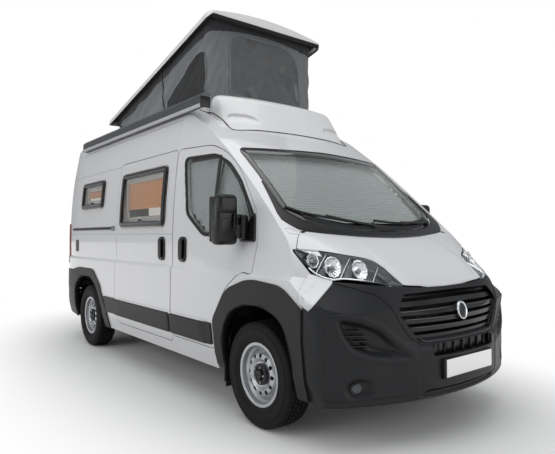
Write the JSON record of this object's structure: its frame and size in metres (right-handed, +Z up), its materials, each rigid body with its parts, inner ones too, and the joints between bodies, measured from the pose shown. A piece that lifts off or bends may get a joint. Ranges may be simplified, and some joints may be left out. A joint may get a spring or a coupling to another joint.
{
  "type": "camper van",
  "caption": "High-roofed panel van made into a camper, with opening cab and rear doors, bonnet, steered rolling wheels and a front-lifting sleeping roof with a fabric tent.",
  "frame": {"origin": "on the ground, under the middle of the van's overall box", "axes": "+Z up, the nose points along -Y, the van's right side is -X"},
  "size_m": [2.444, 5.413, 3.46],
  "materials": {
    "body_paint": "gloss",
    "roof_plastic": "gloss",
    "dark_plastic": "matt",
    "glass": "gloss",
    "lamp_red": "gloss",
    "tyre": "matt",
    "rim_silver": "satin",
    "chassis_black": "satin",
    "engine": "matt",
    "cab_plastic": "matt",
    "seat_fabric": "matt",
    "tent_fabric": "matt",
    "wood": "satin"
  },
  "bodies": {
    "body": {"arch_mouldings": "dark_plastic", "awning_case": "dark_plastic", "bulkhead": "chassis_black", "bumper_front": "dark_plastic", "bumper_rear": "dark_plastic", "cab_frame": "body_paint", "cowl": "dark_plastic", "dashboard": "cab_plastic", "engine_block": "engine", "exhaust": "chassis_black", "floor_pan": "chassis_black", "front_seats": "seat_fabric", "front_struts": "chassis_black", "front_subframe": "chassis_black", "front_wings": "body_paint", "furniture": "wood", "grille": "dark_plastic", "headlamps": "glass", "mattress": "seat_fabric", "mudflaps": "dark_plastic", "rear_axle": "chassis_black", "roof_fairing": "roof_plastic", "roof_panel": "body_paint", "screen_blind": "seat_fabric", "side_strips": "dark_plastic", "side_wall_left": "body_paint", "side_wall_right": "body_paint", "side_windows": "glass", "sliding_door": "body_paint", "sliding_door_window": "glass", "tail_lamps": "lamp_red", "tanks": "cab_plastic", "tent": "tent_fabric", "wheel_housings": "dark_plastic", "windscreen": "glass", "wipers": "dark_plastic"},
    "door_front_right": {"door_front_right": "body_paint", "door_glass_right": "glass", "mirror_right": "dark_plastic"},
    "door_front_left": {"door_front_left": "body_paint", "door_glass_left": "glass", "mirror_left": "dark_plastic"},
    "door_rear_right": {"door_rear_right": "body_paint", "rear_glass_right": "glass"},
    "door_rear_left": {"door_rear_left": "body_paint", "rear_glass_left": "glass"},
    "bonnet": {"bonnet": "body_paint"},
    "roof_arms": {"roof_arms": "chassis_black"},
    "pop_roof": {"pop_roof": "roof_plastic"},
    "knuckle_right": {"knuckle_right": "chassis_black"},
    "knuckle_left": {"knuckle_left": "chassis_black"},
    "wheel_front_right": {"tyre_front_right": "tyre", "rim_front_right": "rim_silver"},
    "wheel_front_left": {"tyre_front_left": "tyre", "rim_front_left": "rim_silver"},
    "wheel_rear_right": {"tyre_rear_right": "tyre", "rim_rear_right": "rim_silver"},
    "wheel_rear_left": {"tyre_rear_left": "tyre", "rim_rear_left": "rim_silver"},
    "steering_wheel": {"steering_wheel": "cab_plastic"}
  },
  "joints": [
    {"name": "door_front_right_hinge", "type": "hinge", "parent": "body", "child": "door_front_right", "pos_m": [-0.992, -1.6715, 1.065], "axis": [0.0785, 0, 0.9969], "range_deg": [0, 70]},
    {"name": "door_front_left_hinge", "type": "hinge", "parent": "body", "child": "door_front_left", "pos_m": [0.992, -1.6715, 1.065], "axis": [0.0785, 0, -0.9969], "range_deg": [0, 70]},
    {"name": "door_rear_right_hinge", "type": "hinge", "parent": "body", "child": "door_rear_right", "pos_m": [-0.9, 2.6515, 1.4], "axis": [0, 0, 1], "range_deg": [0, 180]},
    {"name": "door_rear_left_hinge", "type": "hinge", "parent": "body", "child": "door_rear_left", "pos_m": [0.9, 2.6515, 1.4], "axis": [0, 0, -1], "range_deg": [0, 180]},
    {"name": "bonnet_hinge", "type": "hinge", "parent": "body", "child": "bonnet", "pos_m": [0, -1.9905, 1.34], "axis": [-1, 0, 0], "range_deg": [0, 50]},
    {"name": "roof_arm_hinge", "type": "hinge", "parent": "body", "child": "roof_arms", "pos_m": [0, 1.2515, 2.536], "axis": [-1, 0, 0], "range_deg": [0, 21.9], "deforming": ["tent"]},
    {"name": "pop_roof_hinge", "type": "hinge", "parent": "roof_arms", "child": "pop_roof", "pos_m": [0, 1.80623, 2.76464], "axis": [1, 0, 0], "range_deg": [0, 35.3]},
    {"name": "steer_left", "type": "hinge", "parent": "body", "child": "knuckle_left", "pos_m": [0.845, -1.7585, 0.364], "axis": [-0.1392, 0, 0.9903], "range_deg": [-35, 35]},
    {"name": "steer_right", "type": "hinge", "parent": "body", "child": "knuckle_right", "pos_m": [-0.845, -1.7585, 0.364], "axis": [0.1392, 0, 0.9903], "range_deg": [-35, 35]},
    {"name": "steering_wheel_turn", "type": "hinge", "parent": "body", "child": "steering_wheel", "pos_m": [0.4, -1.2565, 1.19], "axis": [0, 0.8829, 0.4695], "range_deg": [-540, 540]},
    {"name": "wheel_front_right_spin", "type": "hinge", "parent": "knuckle_right", "child": "wheel_front_right", "pos_m": [-0.905, -1.7585, 0.364], "axis": [1, 0, 0], "continuous": true},
    {"name": "wheel_front_left_spin", "type": "hinge", "parent": "knuckle_left", "child": "wheel_front_left", "pos_m": [0.905, -1.7585, 0.364], "axis": [1, 0, 0], "continuous": true},
    {"name": "wheel_rear_right_spin", "type": "hinge", "parent": "body", "child": "wheel_rear_right", "pos_m": [-0.895, 1.6915, 0.364], "axis": [1, 0, 0], "continuous": true},
    {"name": "wheel_rear_left_spin", "type": "hinge", "parent": "body", "child": "wheel_rear_left", "pos_m": [0.895, 1.6915, 0.364], "axis": [1, 0, 0], "continuous": true}
  ],
  "couplings": [
    {"joint": "pop_roof_hinge", "follows": "roof_arm_hinge", "ratio": 1.6119},
    {"joint": "steer_right", "follows": "steer_left", "ratio": 1},
    {"joint": "steering_wheel_turn", "follows": "steer_left", "ratio": 15.4}
  ]
}
